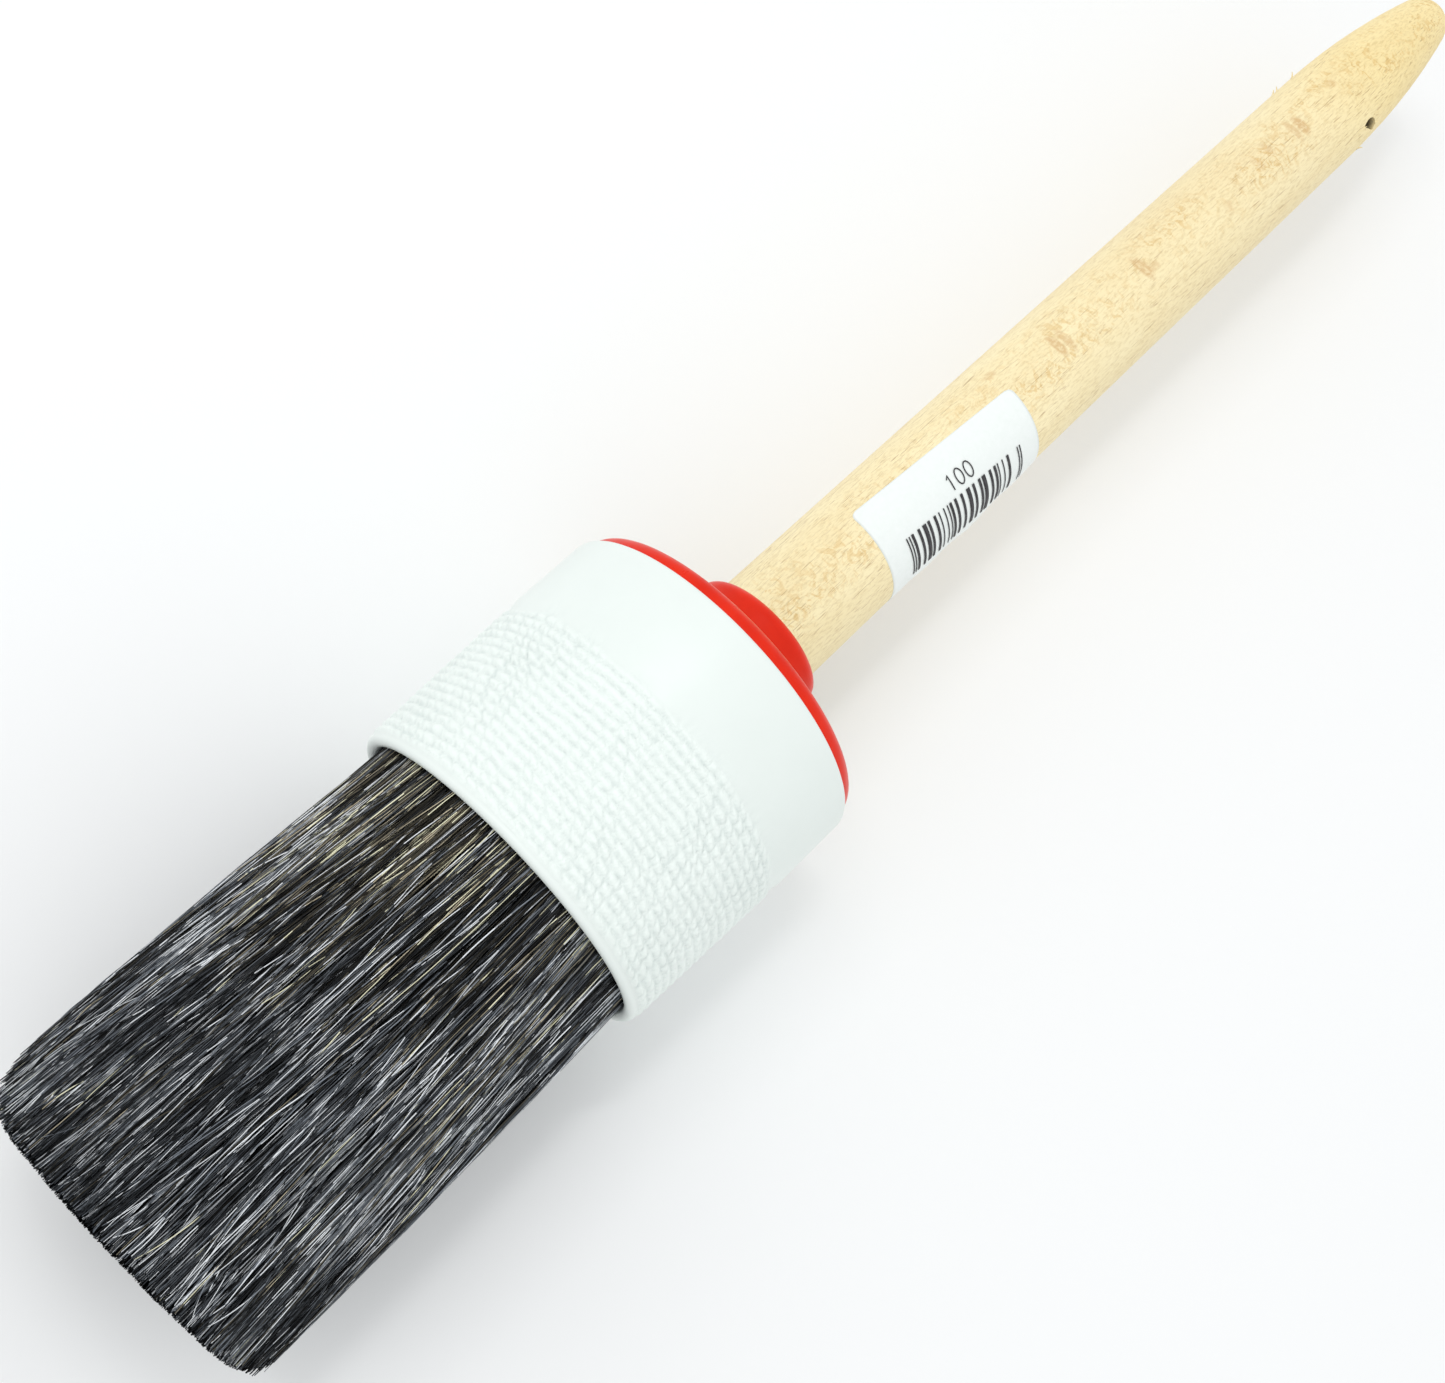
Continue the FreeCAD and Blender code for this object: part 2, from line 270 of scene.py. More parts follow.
def bore_depth(tree, place):
    """0 on the outside of the handle, 1 deep inside the hanging hole, where the wood gets painted
    shade.
    """
    def vector_node(operation, first, second=None):
        node = tree.nodes.new("ShaderNodeVectorMath")
        node.operation = operation
        tree.links.new(first, node.inputs[0])
        if second is not None:
            node.inputs[1].default_value = second
        return node.outputs

    offset = vector_node("SUBTRACT", place, HOLE)["Vector"]
    depth = vector_node("DOT_PRODUCT", offset, HOLE_AXIS)["Value"]
    aside = vector_node("LENGTH", vector_node("CROSS_PRODUCT", offset, HOLE_AXIS)["Vector"])
    reach = maths(tree, "DIVIDE", maths(tree, "ABSOLUTE", depth), NOSE_R)
    deep = ramp(tree, reach, [(0.80, 1.0), (0.97, 0.0)])
    near = ramp(tree, maths(tree, "DIVIDE", aside["Value"], 2 * HOLE_R),
                [(0.515, 1.0), (0.54, 0.0)])
    return product(tree, deep, near)


RAY_FLECKS = (
    # mm behind the lip, degrees from the top, length and width in mm, strength
    (130.6, -12.0, 1.1, 3.0, 0.75), (132.6, -10.0, 1.0, 3.2, 0.60), (154.0, -11.0, 1.3, 3.4, 0.70),
    (155.8, -4.0, 1.6, 1.2, 0.45), (198.0, -9.0, 1.0, 3.2, 0.55), (200.0, -8.0, 1.3, 2.8, 0.80),
    (176.0, 4.0, 1.4, 1.6, 0.35), (187.0, -8.0, 1.2, 2.2, 0.35), (191.0, -14.0, 1.0, 2.0, 0.40),
    (212.0, -20.0, 1.4, 1.4, 0.45), (118.0, -38.0, 1.6, 1.0, 0.45), (236.0, 0.0, 1.0, 3.0, 0.35),
)
FLECK_COLOUR = (0.68, 0.44, 0.20)
MOTTLE_Y = 1.6 * MM
MOTTLE_HALF = 5.0 * MM
NOSE_TINT = (0.99, 0.945, 0.80)
NOSE_TINT_FROM, NOSE_TINT_LENGTH = 198 * MM, 24 * MM    # behind the lip
PORE_COLOUR, LONG_PORE_COLOUR = (0.48, 0.31, 0.15), (0.40, 0.25, 0.11)
PORE_STRENGTH = 0.62
# Painted shade inside the hanging hole.
BORE_SHADE_COLOUR = (0.055, 0.030, 0.016)


def dashes(tree, scale, low, high, zone_scale):
    """Short dark pores, in patches: 1 in a pore, 0 beside it."""
    shape = ramp(tree, noise(tree, stretched(tree, scale), 1.0, 2.0, 0.5),
                 [(low, 0.0), (high, 1.0)])
    zone = ramp(tree, noise(tree, stretched(tree, zone_scale), 1.0, 2.0),
                [(0.40, 0.10), (0.60, 1.0)])
    return product(tree, shape, zone)


def beech():
    material, tree, shader = new_material("beech")
    broad = noise(tree, stretched(tree, (22, 90, 90)), 1.0, 4.0, 0.6, 0.6)
    colour = ramp(tree, broad, [
        (0.28, (0.89, 0.73, 0.43)), (0.46, (0.93, 0.79, 0.48)),
        (0.60, (0.965, 0.835, 0.525)), (0.78, (0.985, 0.87, 0.565))])
    speckle = noise(tree, stretched(tree, (780, 2700, 2700)), 1.0, 4.0, 0.65, 0.3)
    speckle_tone = ramp(tree, speckle, [(0.36, (0.66, 0.57, 0.44)), (0.53, (1.0, 1.0, 1.0))])
    colour = mixed(tree, 0.36, colour, speckle_tone, "MULTIPLY")
    place = tree.nodes.new("ShaderNodeTexCoord").outputs["Object"]
    axes = tree.nodes.new("ShaderNodeSeparateXYZ")
    tree.links.new(place, axes.inputs["Vector"])
    # Cross-wise mottles sit in a band along the top, where the growth rings lie flat.
    mottle = noise(tree, stretched(tree, (560, 420, 420)), 1.0, 3.0, 0.6, 1.6)
    mottle_tone = ramp(tree, mottle, [(0.40, (0.84, 0.69, 0.48)), (0.50, (1.0, 1.0, 1.0))])
    band = maths(tree, "ABSOLUTE", maths(tree, "SUBTRACT", axes.outputs["Y"], MOTTLE_Y))
    band = ramp(tree, maths(tree, "DIVIDE", band, 2 * MOTTLE_HALF), [(0.30, 1.0), (0.65, 0.0)])
    patchy = ramp(tree, noise(tree, stretched(tree, (55, 160, 160)), 1.0, 2.0),
                  [(0.38, 0.15), (0.60, 0.75)])
    colour = mixed(tree, product(tree, band, patchy), colour, mottle_tone, "MULTIPLY")
    fine = dashes(tree, (330, 4200, 4200), 0.62, 0.68, (45, 150, 150))
    colour = mixed(tree, maths(tree, "MULTIPLY", fine, PORE_STRENGTH), colour, PORE_COLOUR)
    long_dash = dashes(tree, (130, 3500, 3500), 0.665, 0.71, (38, 130, 130))
    colour = mixed(tree, maths(tree, "MULTIPLY", long_dash, PORE_STRENGTH), colour,
                   LONG_PORE_COLOUR)
    crumbs = ramp(tree, noise(tree, stretched(tree, (1100, 1100, 1100)), 1.0, 3.0, 0.6),
                  [(0.34, 0.30), (0.54, 1.0)])
    for x, turn, length, width, strength in RAY_FLECKS:
        mark = spot(tree, place, LIP_X + x * MM, turn, length * MM, width * MM)
        broken = product(tree, mark, crumbs)
        colour = mixed(tree, maths(tree, "MULTIPLY", broken, strength), colour, FLECK_COLOUR)
    # The nose is a little yellower than the shaft.
    behind = maths(tree, "SUBTRACT", axes.outputs["X"], LIP_X + NOSE_TINT_FROM)
    nose = ramp(tree, maths(tree, "DIVIDE", behind, NOSE_TINT_LENGTH), [(0.0, 0.0), (1.0, 1.0)])
    colour = mixed(tree, nose, colour, NOSE_TINT, "MULTIPLY")
    # Painted shade darkens the wood deep inside the hanging hole.
    colour = mixed(tree, bore_depth(tree, place), colour, BORE_SHADE_COLOUR)
    tree.links.new(colour, shader.inputs["Base Color"])
    rough = ramp(tree, speckle, [(0.3, 0.62), (0.7, 0.50)])
    tree.links.new(rough, shader.inputs["Roughness"])
    shader.inputs["Specular IOR Level"].default_value = 0.30
    add_bump(tree, shader, fine, -0.25, 0.00012)
    return material


def red_plastic():
    material, tree, shader = new_material("red_plastic")
    cloud = noise(tree, stretched(tree, (120, 120, 120)), 1.0, 4.0, 0.6)
    colour = ramp(tree, cloud, [(0.3, (0.70, 0.016, 0.002)), (0.7, (0.80, 0.024, 0.004))])
    tree.links.new(colour, shader.inputs["Base Color"])
    grain = noise(tree, stretched(tree, (2600, 2600, 2600)), 1.0, 2.0)
    tree.links.new(ramp(tree, cloud, [(0.3, 0.36), (0.7, 0.26)]), shader.inputs["Roughness"])
    shader.inputs["Specular IOR Level"].default_value = 0.17
    shader.inputs["Subsurface Weight"].default_value = 0.08
    shader.inputs["Subsurface Radius"].default_value = (0.002, 0.0005, 0.0003)
    shader.inputs["Subsurface Scale"].default_value = 1.0
    add_bump(tree, shader, grain, 0.10, 0.00004)
    return material


# Painted shade for the winding's hollows and cuts.
HOLLOW_SHADE_COLOUR = (0.52, 0.60, 0.58)


def white_plastic():
    """Smooth plastic; the winding, which is creased, is painted lighter than the band, and its
    hollows get painted shade.
    """
    material, tree, shader = new_material("white_plastic")
    cloud = noise(tree, stretched(tree, (60, 60, 60)), 1.0, 4.0, 0.6)
    # The winding is painted lighter than the smooth band, though both are one white plastic, to
    # make up for the shade that its relief casts.
    smooth = ramp(tree, cloud, [(0.3, (0.805, 0.858, 0.822)), (0.7, (0.832, 0.885, 0.850))])
    wound = ramp(tree, cloud, [(0.3, (0.875, 0.935, 0.895)), (0.7, (0.905, 0.965, 0.925))])
    colour = mixed(tree, attribute(tree, "wound"), smooth, wound)
    crease = noise(tree, stretched(tree, (480, 1150, 1150)), 1.0, 4.0, 0.55)
    broken = ramp(tree, crease, [(0.36, 0.05), (0.66, 0.46)])
    # Painted shade in the hollows, broken up by the crease noise.
    colour = mixed(tree, maths(tree, "MULTIPLY", attribute(tree, "hollow"), broken), colour,
                   HOLLOW_SHADE_COLOUR)
    tree.links.new(colour, shader.inputs["Base Color"])
    grain = noise(tree, stretched(tree, (2200, 2200, 2200)), 1.0, 3.0)
    tree.links.new(ramp(tree, cloud, [(0.3, 0.46), (0.7, 0.36)]), shader.inputs["Roughness"])
    relief = maths(tree, "ADD", maths(tree, "MULTIPLY", grain, 0.012),
                   maths(tree, "MULTIPLY", attribute(tree, "wound"), crease))
    add_bump(tree, shader, relief, 0.6, 0.0008)
    return material


def resin():
    material, tree, shader = new_material("resin")
    cloud = noise(tree, stretched(tree, (400, 400, 400)), 1.0, 5.0, 0.6)
    colour = ramp(tree, cloud, [(0.3, (0.20, 0.11, 0.04)), (0.7, (0.36, 0.22, 0.10))])
    tree.links.new(colour, shader.inputs["Base Color"])
    shader.inputs["Roughness"].default_value = 0.35
    return material


def label_paper():
    material, tree, shader = new_material("label_paper")
    fibre = noise(tree, stretched(tree, (900, 900, 900)), 1.0, 5.0, 0.65)
    colour = ramp(tree, fibre, [(0.3, (0.86, 0.90, 0.87)), (0.7, (0.90, 0.93, 0.91))])
    tree.links.new(colour, shader.inputs["Base Color"])
    shader.inputs["Roughness"].default_value = 0.55
    add_bump(tree, shader, fibre, 0.15, 0.00004)
    return material


def label_ink():
    material, tree, shader = new_material("label_ink")
    worn = noise(tree, stretched(tree, (1500, 1500, 1500)), 1.0, 3.0)
    colour = ramp(tree, worn, [(0.3, (0.016, 0.015, 0.017)), (0.75, (0.06, 0.055, 0.06))])
    tree.links.new(colour, shader.inputs["Base Color"])
    shader.inputs["Roughness"].default_value = 0.6
    return material


# Near-black core for the inner bristles: their dark colour, darkened further as painted shade deep
# in the bundle.
def core_bristle():
    material, tree, shader = new_material("core_bristle")
    streak = noise(tree, stretched(tree, (25, 2400, 2400)), 1.0, 4.0, 0.6)
    colour = ramp(tree, streak, [(0.35, (0.004, 0.004, 0.005)), (0.75, (0.030, 0.030, 0.034))])
    tree.links.new(colour, shader.inputs["Base Color"])
    shader.inputs["Roughness"].default_value = 0.55
    return material


# Mesh making.

def mesh_object(name, vertices, faces, materials, slots=None):
    """An object from vertex rows and face rows, all of one kind, or a list of such rows."""
    mesh = bpy.data.meshes.new(name)
    groups = faces if isinstance(faces, list) else [faces]
    corner_count = np.concatenate([np.full(len(rows), rows.shape[1]) for rows in groups])
    corners_flat = np.concatenate([rows.ravel() for rows in groups])
    starts = np.concatenate([[0], np.cumsum(corner_count)[:-1]])
    mesh.vertices.add(len(vertices))
    mesh.vertices.foreach_set("co", np.asarray(vertices, np.float32).ravel())
    mesh.loops.add(len(corners_flat))
    mesh.loops.foreach_set("vertex_index", corners_flat.astype(np.int32))
    mesh.polygons.add(len(corner_count))
    mesh.polygons.foreach_set("loop_start", starts.astype(np.int32))
    mesh.polygons.foreach_set("loop_total", corner_count.astype(np.int32))
    for material in materials:
        mesh.materials.append(material)
    if slots is not None:
        mesh.polygons.foreach_set("material_index", np.asarray(slots, np.int32))
    mesh.update(calc_edges=True)
    mesh.validate()
    mesh.shade_smooth()
    made = bpy.data.objects.new(name, mesh)
    bpy.context.scene.collection.objects.link(made)
    return made


def grid_faces(rows, columns, wrap_rows=False, wrap_columns=False):
    """Quads between neighbours of a rows x columns grid of vertices."""
    row = np.arange(rows if wrap_rows else rows - 1)
    column = np.arange(columns if wrap_columns else columns - 1)
    r, c = np.meshgrid(row, column, indexing="ij")
    r2 = (r + 1) % rows
    c2 = (c + 1) % columns
    quads = np.stack([r * columns + c, r * columns + c2, r2 * columns + c2, r2 * columns + c], -1)
    return quads.reshape(-1, 4)


def ripple(turn, x, waves, reach_turn, reach_x):
    """Smooth repeatable noise about -1..1 on the unrolled surface; whole waves round it."""
    total = np.zeros(np.broadcast(turn, x).shape)
    for _ in range(waves):
        total = total + np.sin(rng.integers(1, reach_turn + 1) * turn
                               + rng.uniform(-reach_x, reach_x) * x
                               + rng.uniform(0, 2 * math.pi))
    return total / math.sqrt(waves / 2)


# Bristles: separate strands over a dark core, gathered into locks of two sizes.

# Tones from darkest to a bright glint, which mostly carries painted glints and glows; most strands
# are cool, some near the collar warm.
TONES = (0.003, 0.009, 0.022, 0.052, 0.115, 0.25, 0.52, 0.95)
COOL, WARM = (0.91, 1.00, 1.13), (1.14, 1.00, 0.72)
TONE_ROUGHNESS, TONE_SPECULAR = 0.30, 0.16
ROOT_R = 26.55 * MM
SPREAD_R = 27.65 * MM
STRAND_SIDES = 3
WIDE_LOCKS, FINE_LOCKS = 64, 380
WIDE_PULL, FINE_PULL = 0.25, 0.60      # share of the way that a strand turns to its lock's middle
STRAND_LEAN = 0.080                    # radians at the tips
TAPER = 0.35                           # share of its thickness that a strand loses
CORE_SHARE = 0.885                     # radius of the core, as a share of the bundle's
OUTER_SHARE = 0.955                    # where the outer layers start
HIGHEST_STRAND = 0.10 * MM             # above the bundle's surface
TRIM_TOP, TRIM_LEFT, TRIM_RIGHT = 1.4 * MM, 13.5 * MM, 5.2 * MM
ROUND_FROM = 0.86                      # share of the radius where the end starts to round
ROUND_SOONER_LEFT = 0.18               # and how much further in it starts on the left
USUAL_SHORT, MOST_SHORT = 0.28 * MM, 2.0 * MM    # how far a strand falls short of the end
ROOT_DEPTH = 3 * MM                    # how far inside the collar the strands start


def free_part(x):
    """0 at the collar's lip and inside it, 1 at the tips."""
    return np.clip((LIP_X - x) / (LIP_X - TIPS_X), 0, 1)


def tuft_radius(x):
    """Outside radius of the bundle at a station."""
    return ROOT_R + (SPREAD_R - ROOT_R) * np.sin(free_part(x) * math.pi / 2)


def strand_tubes(path, radius):
    """Closed three-sided tubes along path (strands, points, 3), radius (strands, points)."""
    strands, points, _ = path.shape
    spin = rng.uniform(0, 2 * math.pi, (strands, 1, 1))
    side = spin + 2 * math.pi * np.arange(STRAND_SIDES) / STRAND_SIDES
    ring = np.stack([np.zeros_like(side), np.cos(side), np.sin(side)], -1)
    vertices = path[:, :, None, :] + ring * radius[:, :, None, None]
    tube = grid_faces(points, STRAND_SIDES, wrap_columns=True)
    root_cap = np.arange(STRAND_SIDES)
    tip_cap = (points - 1) * STRAND_SIDES + np.arange(STRAND_SIDES)[::-1]
    first = np.arange(strands)[:, None, None] * points * STRAND_SIDES
    quads = (first + tube).reshape(-1, 4)
    caps = (first + np.stack([root_cap, tip_cap])).reshape(-1, 3)
    return vertices.reshape(-1, 3), quads, caps


def locks(turn, edges, strength):
    """How far each strand turns towards the middle of its lock, and the lock's number."""
    count = len(edges)
    lock = np.searchsorted(edges, turn) % count
    before = edges[lock - 1]
    middle = before + ((edges[lock] - before) % (2 * math.pi)) / 2
    gap = (middle - turn + math.pi) % (2 * math.pi) - math.pi
    return gap * strength, lock


LOCK_TONE_SPREAD = 0.90
LOCK_EDGES = [np.sort(rng.uniform(-math.pi, math.pi, n)) for n in (WIDE_LOCKS, FINE_LOCKS)]
LOCK_LEAN = [rng.normal(0, 0.085, WIDE_LOCKS), rng.normal(0, 0.075, FINE_LOCKS)]
LOCK_TONE = rng.normal(0, LOCK_TONE_SPREAD, FINE_LOCKS)
LOCK_RISE = [rng.normal(0, 0.18 * MM, WIDE_LOCKS), rng.normal(0, 0.28 * MM, FINE_LOCKS)]
FAN, FAN_SLOPE = 0.22, 8.0
STRAND_TONE_SPREAD = 1.60
PAINTED_GLOW_TONES = 5.4                       # tones that a painted soft highlight (glow) of one adds
PAINTED_GLINT_TONES = (2.5, 6.5)               # tones that a painted glint adds
PAINTED_GLINT_SHAPE = (0.35, 1, 1, 1, 0.35)    # a painted glint's spread along the strand, in segments
WARM_TURN, WARM_REACH = -0.45, 0.85
PAINTED_SHEEN_AND_SHADE = (
    # painted sheen (lighter patches, strength above 0) and painted shade (darker patches, below
    # 0):
    # strength, turn and its reach, share of the free length and its reach
    (1.6, -1.00, 0.34, 0.20, 0.22), (1.0, 0.98, 0.30, 0.50, 0.30),
    (-1.2, 0.25, 0.35, 0.15, 0.22), (-0.9, 0.85, 0.30, 0.88, 0.20),
)


def bristle_materials():
    made = []
    for family, tint in (("cool", COOL), ("warm", WARM)):
        for level, tone in enumerate(TONES):
            # The two brightest cool tones, mostly painted glints, lose most of their tint.
            ease = 0.3 if level >= len(TONES) - 2 and family == "cool" else 1.0
            colour = [min(0.98, tone * (1 + (share - 1) * ease)) for share in tint]
            made.append(plain(f"bristle_{family}_{level}", colour, TONE_ROUGHNESS, TONE_SPECULAR))
    return made


def trimmed_x(turn, share):
    """Where a strand ends: the bundle's end is rounded, most of all on its left side."""
    side = np.abs(np.sin(turn)) ** 5
    trim = TRIM_TOP + side * np.where(turn < 0, TRIM_LEFT, TRIM_RIGHT)
    start = ROUND_FROM - ROUND_SOONER_LEFT * side * (turn < 0)
    edge = np.clip((share - start) / (1 - start), 0, 1)
    return TIPS_X + trim * (1 - np.sqrt(1 - edge ** 2))


def blurred(rows, kernel):
    """Each row smoothed with a short odd kernel."""
    reach = len(kernel) // 2
    padded = np.pad(rows, ((0, 0), (reach, reach)))
    return sum(weight * padded[:, k:k + rows.shape[1]] for k, weight in enumerate(kernel))


def drifting(middle, low, high):
    """Smooth noise of about unit size along each strand, low..high waves over its length."""
    total = np.zeros(middle.shape)
    for _ in range(3):
        cycles = rng.uniform(low, high, (len(middle), 1))
        total += np.sin(2 * math.pi * cycles * middle + rng.uniform(0, 2 * math.pi, cycles.shape))
    return total / math.sqrt(1.5)


def strand_slots(turn, lock_tone, middle, base, painted_glow_from, painted_glint_chance):
    """A material number for every segment: tone 0..7, plus 8 for the warm family."""
    count, segments = middle.shape
    # Random lighter and darker patches: partly the strands' own tone, partly painted sheen.
    patches = ripple(turn[:, None], middle, 10, 8, 20)
    painted_light_patches = sum(strength * np.exp(-((turn[:, None] - at_turn) / turn_reach) ** 2
                                      - ((middle - at) / reach) ** 2)
                    for strength, at_turn, turn_reach, at, reach in PAINTED_SHEEN_AND_SHADE)
    painted_sheen = np.clip(painted_light_patches, 0, None)
    # The tone adds the painted sheen and shade patches and a slow painted drift along each strand,
    # where its reflection would change.
    tone = (base + rng.normal(0, STRAND_TONE_SPREAD, (count, 1)) + lock_tone[:, None]
            + 0.55 * patches + 0.8 * painted_light_patches + 0.80 * drifting(middle, 0.8, 4))
    # Painted highlights: soft glows where a slow noise runs high, and short glints at random
    # segments.
    painted_glow = np.clip(drifting(middle, 1.5, 6) - painted_glow_from + 0.35 * patches + 0.45 * painted_sheen, 0, None)
    chance = painted_glint_chance * np.clip(0.8 + 0.7 * patches + 1.6 * painted_sheen, 0.1, 4.0)
    glint_starts = rng.uniform(0, 1, (count, segments)) < chance
    painted_glint = blurred(glint_starts * rng.uniform(*PAINTED_GLINT_TONES, (count, segments)), PAINTED_GLINT_SHAPE)
    level = np.clip(np.round(tone + PAINTED_GLOW_TONES * painted_glow + painted_glint), 0, len(TONES) - 1).astype(int)
    warm = (np.exp(-((turn[:, None] - WARM_TURN) / WARM_REACH) ** 2)
            * np.clip(1.1 - 1.9 * middle, 0, 1))
    is_warm = rng.uniform(0, 1, (count, 1)) < 0.04 + 0.66 * warm
    return level + len(TONES) * is_warm


def face_slots(turn, lock_tone, free, tones):
    """A material number for every face that strand_tubes makes: the sides, then the caps."""
    middle = (free[:, 1:] + free[:, :-1]) / 2
    kinds = strand_slots(turn, lock_tone, middle, *tones)
    return np.concatenate([np.repeat(kinds.ravel(), STRAND_SIDES), np.repeat(kinds[:, -1], 2)])


def make_strands(name, count, inner, outer, root_x, points, widths, tones, materials):
    """Strands between two shares of the bundle's radius, from root_x to the tips.

    widths is the least and greatest radius of a strand in mm. tones is the usual tone, the
    level of noise that a painted glow starts from, and the chance of a painted glint in a segment.
    """
    turn = rng.uniform(-math.pi, math.pi, count)
    share = np.sqrt(rng.uniform(inner ** 2, outer ** 2, count))
    pull_wide, wide = locks(turn, LOCK_EDGES[0], WIDE_PULL)
    pull_fine, fine = locks(turn, LOCK_EDGES[1], FINE_PULL)
    lean = LOCK_LEAN[0][wide] + LOCK_LEAN[1][fine] + rng.normal(0, STRAND_LEAN, count)
    lean += FAN * np.sin(turn)
    rise = LOCK_RISE[0][wide] + LOCK_RISE[1][fine]
    short = rng.exponential(USUAL_SHORT, count).clip(0, MOST_SHORT)
    tip_x = trimmed_x(turn, share) + short
    along = np.linspace(0, 1, points)[None, :]
    x = root_x + (tip_x[:, None] - root_x) * along
    free = free_part(x)
    loose = np.sqrt(free)

    def wave(low, high, size):
        """A sideways wave of low..high cycles over the free length, none at the lip."""
        cycles = rng.uniform(low, high, (count, 1))
        phase = rng.uniform(0, 2 * math.pi, (count, 1))
        reach = rng.gamma(2.0, size / 2, (count, 1)).clip(0, 3 * size)
        return reach * np.sin(2 * math.pi * cycles * free + phase) * loose

    sideways = wave(0.4, 1.7, 0.70 * MM) + wave(4.0, 11.0, 0.05 * MM)
    outward = wave(0.5, 2.4, 0.16 * MM) + wave(4.0, 11.0, 0.03 * MM)
    angle = (turn[:, None] + (pull_wide + pull_fine)[:, None] * free ** 1.3
             + lean[:, None] * free + sideways / SPREAD_R)
    limit = tuft_radius(x)
    radius = share[:, None] * limit + rise[:, None] * loose + outward
    radius = np.minimum(radius, limit + HIGHEST_STRAND * loose)
    thick = rng.uniform(*widths, (count, 1)) * MM * (1.0 - TAPER * free ** 2)
    vertices, quads, caps = strand_tubes(around(x, radius, angle), thick)
    slots = face_slots(turn, LOCK_TONE[fine], free, tones)
    made = mesh_object(name, vertices, [quads, caps], materials, slots)
    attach(made, "root")


CROSSING_POINTS = 26
CROSSING_FROM, CROSSING_SPAN = 2, 76    # mm: starts from inside the collar outwards
CROSSING_LENGTH = (15, 44)             # mm
CROSSING_RADIUS = (0.060, 0.105)       # mm
CROSSING_HOP = (0.08, 0.40)            # mm, how far a hair stands off the rest
CROSSING_TONES = (3.2, 1.15, 0.02)     # as tones in make_strands
SUNK = 0.16 * MM                       # how deep its two ends sit
LEAST_LENGTH = 6 * MM
SHORTFALL = 0.5 * MM                   # how far short of the bundle's end it stays


def make_crossing(name, count, slope, materials):
    """Hairs on the bundle's surface that fan out towards the tips and cross the rest."""
    along = np.linspace(0, 1, CROSSING_POINTS)[None, :]
    turn = rng.uniform(-math.pi, math.pi, (count, 1))
    start = LIP_X + (CROSSING_FROM - CROSSING_SPAN * rng.uniform(0, 1, (count, 1))) * MM
    length = rng.uniform(*CROSSING_LENGTH, (count, 1)) * MM
    fanned = FAN_SLOPE * np.sin(turn) + rng.normal(0, slope, (count, 1))
    end_x = np.maximum(trimmed_x(turn, 1.0), trimmed_x(turn + fanned * length, 1.0))
    tip_x = end_x + SHORTFALL
    start = np.maximum(start, tip_x + LEAST_LENGTH)
    length = np.minimum(start - tip_x, length)
    x = start - length * along
    bend = rng.normal(0, 0.05, (count, 1))
    angle = turn + fanned * length * along + bend * along ** 2
    hop = rng.uniform(*CROSSING_HOP, (count, 1)) * MM
    radius = tuft_radius(x) - SUNK + hop * np.sin(math.pi * along) ** 0.8
    thick = rng.uniform(*CROSSING_RADIUS, (count, 1)) * MM * (1 - TAPER * along)
    vertices, quads, caps = strand_tubes(around(x, radius, angle), thick)
    hair_tone = rng.normal(0, LOCK_TONE_SPREAD, count)
    slots = face_slots(turn[:, 0], hair_tone, free_part(x), CROSSING_TONES)
    made = mesh_object(name, vertices, [quads, caps], materials, slots)
    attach(made, "root")


def make_core():
    """The mass of bristle under the separate strands, grooved lengthwise."""
    rows, columns = 40, 360
    start, end = LIP_X + 6 * MM, TIPS_X + 6 * MM
    x = np.linspace(start, end, rows)[:, None]
    turn = full_turn(columns)
    grooves = ripple(turn, x, 24, 110, 30) * 0.25 * MM
    body = around(x, tuft_radius(x) * CORE_SHARE + grooves, turn)
    centre = np.array([[end, 0.0, AXIS_Z], [start, 0.0, AXIS_Z]])
    vertices = np.concatenate([body.reshape(-1, 3), centre])
    quads = grid_faces(rows, columns, wrap_columns=True)
    here = np.arange(columns)
    after = (here + 1) % columns
    last = (rows - 1) * columns
    tip_fan = np.stack([last + after, last + here, np.full(columns, rows * columns)], -1)
    root_fan = np.stack([here, after, np.full(columns, rows * columns + 1)], -1)
    fans = np.concatenate([tip_fan, root_fan])
    made = mesh_object("bristle_core", vertices, [quads[:, ::-1], fans[:, ::-1]],
                       [core_bristle()])
    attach(made, "root")
    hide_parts("bristles")


def make_bristles():
    materials = bristle_materials()
    make_core()
    root_x = LIP_X + ROOT_DEPTH
    # The under strands get a darker usual tone and fewer painted glints than the outer ones:
    # painted shade deep in the bundle.
    for number in range(1, 3):
        make_strands(f"bristle_under_{number}", count=1750, inner=CORE_SHARE,
                     outer=OUTER_SHARE, root_x=root_x, points=18, widths=(0.085, 0.155),
                     tones=(1.2, 2.2, 0.004), materials=materials)
    for number in range(1, 7):
        make_strands(f"bristle_outer_{number}", count=640, inner=OUTER_SHARE,
                     outer=1.0, root_x=root_x, points=50, widths=(0.062, 0.118),
                     tones=(2.60, 1.10, 0.009), materials=materials)
    make_strands("bristle_ends", count=9300, inner=0.03,
                 outer=0.89, root_x=TIPS_X + 14 * MM, points=4, widths=(0.120, 0.220),
                 tones=(3.0, 1.4, 0.05), materials=materials)
    make_crossing("crossing_bristles", count=560, slope=3.0, materials=materials)
    make_crossing("stray_bristles", count=70, slope=9.0, materials=materials)


# Collar: the CAD sleeve's shape with the cord winding's twist modelled on it.

